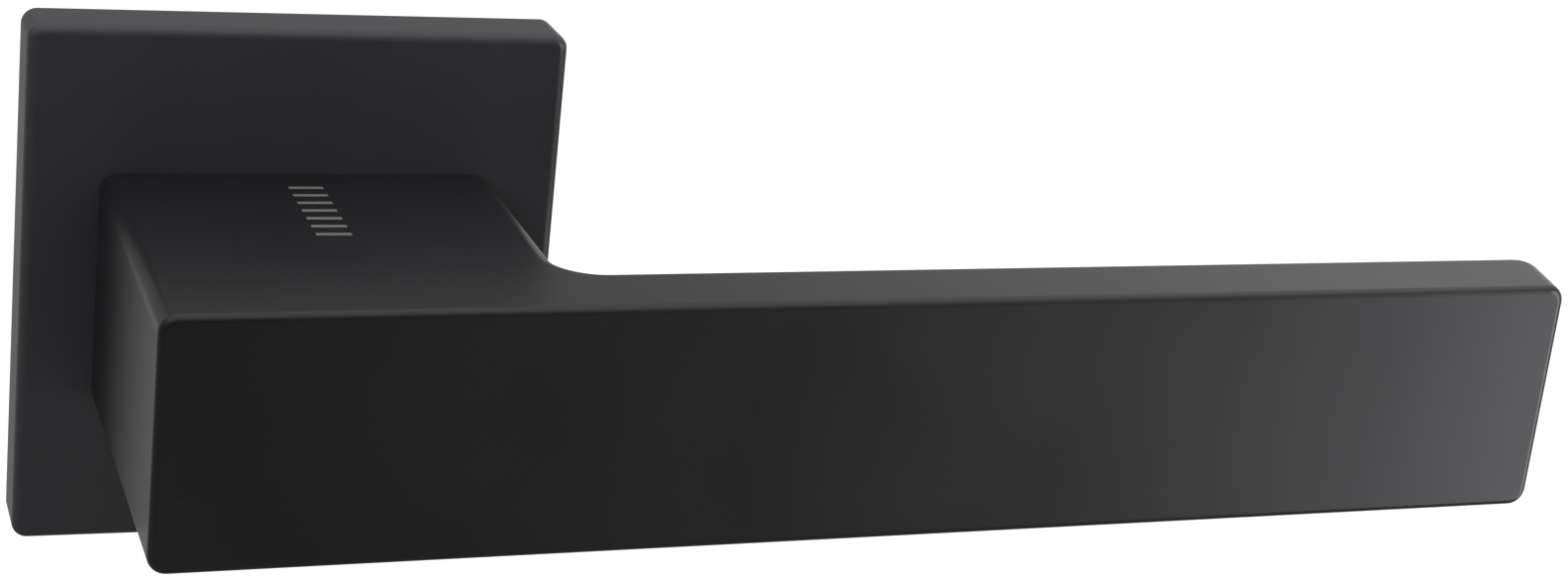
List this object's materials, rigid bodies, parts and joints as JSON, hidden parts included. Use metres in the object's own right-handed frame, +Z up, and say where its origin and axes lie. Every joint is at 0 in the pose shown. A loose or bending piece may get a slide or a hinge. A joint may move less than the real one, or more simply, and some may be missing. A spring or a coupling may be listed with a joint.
{
  "type": "door lever handle",
  "caption": "Sprung door lever with a flat rectangular bar grip on a slim square rose in satin black, with square spindle and bolt-through fixings.",
  "frame": {"origin": "on the spindle's axis, in the plane of the door's surface", "axes": "+X along the grip towards its free end, +Y into the door along the spindle, +Z up as fitted"},
  "size_m": [0.1483, 0.1015, 0.052],
  "materials": {
    "satin_black": "fine satin black powder coat on die-cast zinc",
    "black_screw": "black oxide on hardened steel",
    "cast_zinc": "raw die-cast zinc, dull grey",
    "plated_steel": "bright zinc plating",
    "spring_steel": "oiled spring steel",
    "nylon": "natural white nylon"
  },
  "bodies": {
    "rose": {"rose_cover": "satin_black", "cover_set_screw": "black_screw", "rose_base": "cast_zinc", "neck_bush": "nylon", "return_spring_upper": "spring_steel", "return_spring_lower": "spring_steel", "thrust_washer": "nylon", "back_plate": "plated_steel", "back_plate_screw_1": "plated_steel", "back_plate_screw_2": "plated_steel", "back_plate_screw_3": "plated_steel", "back_plate_screw_4": "plated_steel", "sleeve_nut_left": "plated_steel", "sleeve_nut_right": "plated_steel"},
    "lever": {"lever": "satin_black", "grub_screw": "black_screw", "spindle": "plated_steel", "spindle_clip": "spring_steel", "spring_driver": "cast_zinc"}
  },
  "joints": [
    {"name": "lever_turn", "type": "hinge", "parent": "rose", "child": "lever", "pos_m": [0, 0, 0], "axis": [0, 1, 0], "range_deg": [-40, 40], "stiffness_Nm_per_rad": 2, "springref_deg": -3.72, "deforming": ["return_spring_upper", "return_spring_lower"]}
  ]
}
